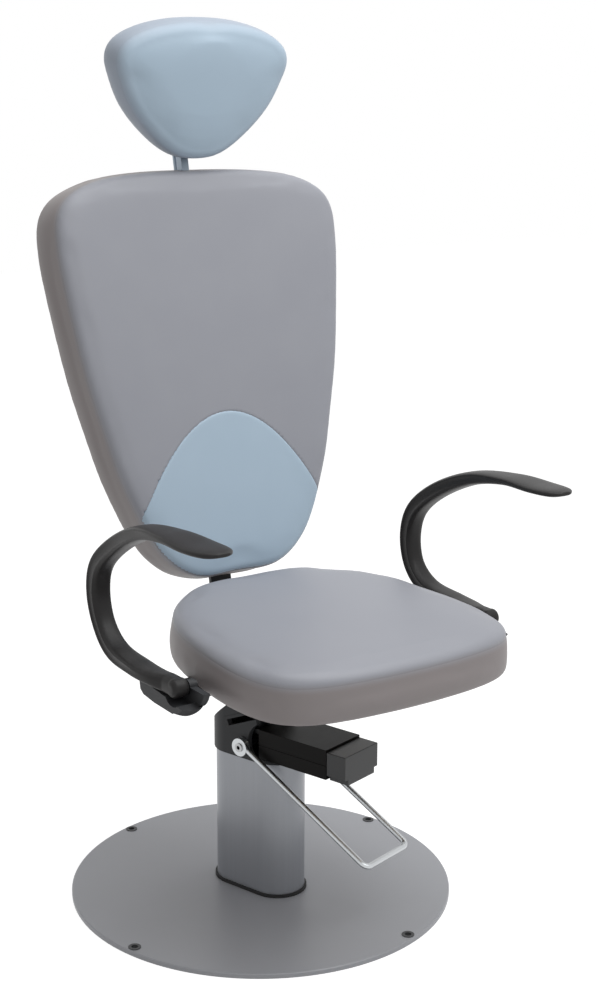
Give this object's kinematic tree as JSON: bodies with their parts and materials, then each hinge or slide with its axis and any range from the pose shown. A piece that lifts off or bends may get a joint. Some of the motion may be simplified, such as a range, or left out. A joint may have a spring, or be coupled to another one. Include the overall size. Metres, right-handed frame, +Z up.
{
  "type": "ophthalmic examination chair",
  "caption": "Padded eye-examination chair on a motorised lift column, with a swivel seat, a tall contoured back, an adjustable headrest, tip-forward arms and a foot bail.",
  "frame": {"origin": "centre of the round base plate's underside, on the seat's turning axis", "axes": "+Z up, -Y the way a sitter faces, +X to the right as seen from the front"},
  "size_m": [0.6938, 0.7464, 1.4487],
  "materials": {
    "silver_coat": "satin silver-grey powder coat on steel",
    "anthracite_coat": "semi-matt anthracite coat on cast and pressed metal",
    "post_coat": "satin blue-grey coat on steel tube",
    "bare_steel": "turned or pressed steel, bare",
    "bright_steel": "polished plated steel",
    "column_alloy": "satin anodised aluminium",
    "nut_brass": "machined, bare",
    "gasket_rubber": "matt black",
    "bush_plastic": "matt black moulded plastic",
    "glide_plastic": "natural acetal, hidden",
    "housing_plastic": "semi-gloss black moulding",
    "cap_plastic": "dark grey moulding, lightly grained",
    "arm_foam": "self-skinned polyurethane, soft black",
    "shell_plastic": "dark grey moulding, lightly grained",
    "board_wood": "plywood, hidden",
    "grey_vinyl": "smooth grey upholstery vinyl",
    "blue_vinyl": "smooth grey-blue upholstery vinyl"
  },
  "bodies": {
    "base": {"floor_plate": "silver_coat", "hole_bushes": "bush_plastic", "foot_gasket": "gasket_rubber", "column_foot": "bare_steel", "foot_screws": "bare_steel", "outer_column": "silver_coat", "outer_glide": "glide_plastic", "spindle_tube": "bare_steel", "spindle_nut": "nut_brass"},
    "lift": {"inner_column": "column_alloy", "inner_glide": "glide_plastic", "head_plate": "anthracite_coat", "column_head": "anthracite_coat", "lift_gearbox": "anthracite_coat", "lift_motor": "anthracite_coat", "motor_housing": "housing_plastic", "housing_end_cap": "cap_plastic", "bail_bushes": "bush_plastic", "bearing_housing": "anthracite_coat", "swivel_screws": "bare_steel", "lower_bearing": "bright_steel", "upper_bearing": "bright_steel", "thrust_washer": "nut_brass"},
    "spindle": {"lift_spindle": "bare_steel"},
    "bail": {"bail_shaft": "bare_steel", "brake_cam": "bare_steel", "foot_bail": "bright_steel", "bail_end_screws": "bare_steel"},
    "seat": {"swivel_shaft": "bare_steel", "swivel_hub": "anthracite_coat", "hub_screws": "bare_steel", "seat_frame": "anthracite_coat", "seat_board": "board_wood", "seat_screws": "bare_steel", "seat_cushion": "grey_vinyl", "back_bar": "anthracite_coat", "back_mount": "anthracite_coat", "back_screws": "bare_steel", "back_board": "board_wood", "back_cushion": "grey_vinyl", "lumbar_panel": "blue_vinyl", "back_shell": "shell_plastic", "headrest_guide": "anthracite_coat", "guide_screws": "bare_steel", "arm_bracket_left": "anthracite_coat", "arm_bracket_right": "anthracite_coat", "arm_bolts": "anthracite_coat", "arm_screws": "bare_steel"},
    "arm_l": {"arm_hub_left": "arm_foam", "arm_left": "arm_foam"},
    "arm_r": {"arm_hub_right": "arm_foam", "arm_right": "arm_foam"},
    "headrest_stem": {"headrest_post": "post_coat", "headrest_rod": "post_coat", "hinge_block": "anthracite_coat"},
    "headrest": {"hinge_pin": "bare_steel", "headrest_bracket": "anthracite_coat", "headrest_board": "board_wood", "headrest_cushion": "blue_vinyl"}
  },
  "joints": [
    {"name": "column_lift", "type": "slide", "parent": "base", "child": "lift", "axis": [0, 0, 1], "range_m": [0, 0.16]},
    {"name": "spindle_turn", "type": "hinge", "parent": "lift", "child": "spindle", "pos_m": [0.01412, -0.04797, 0.2], "axis": [0, 0, 1], "range_deg": [0, 7200]},
    {"name": "bail_press", "type": "hinge", "parent": "lift", "child": "bail", "pos_m": [0.00141, -0.0048, 0.271], "axis": [0.9593, 0.2823, 0], "range_deg": [0, 12], "stiffness_Nm_per_rad": 8, "springref_deg": -10},
    {"name": "seat_swivel", "type": "hinge", "parent": "lift", "child": "seat", "pos_m": [0, 0, 0.375], "axis": [0, 0, 1], "continuous": true},
    {"name": "arm_tip_left", "type": "hinge", "parent": "seat", "child": "arm_l", "pos_m": [-0.298, -0.233, 0.4905], "axis": [1, 0, 0], "range_deg": [0, 90]},
    {"name": "arm_tip_right", "type": "hinge", "parent": "seat", "child": "arm_r", "pos_m": [0.298, -0.233, 0.4905], "axis": [1, 0, 0], "range_deg": [0, 90]},
    {"name": "headrest_height", "type": "slide", "parent": "seat", "child": "headrest_stem", "axis": [0, 0.1908, 0.9816], "range_m": [0, 0.08]},
    {"name": "headrest_tilt", "type": "hinge", "parent": "headrest_stem", "child": "headrest", "pos_m": [0, 0.25684, 1.34197], "axis": [1, 0, 0], "range_deg": [-25, 0]}
  ],
  "couplings": [
    {"joint": "spindle_turn", "follows": "column_lift", "rad_per_m": 785.4}
  ]
}
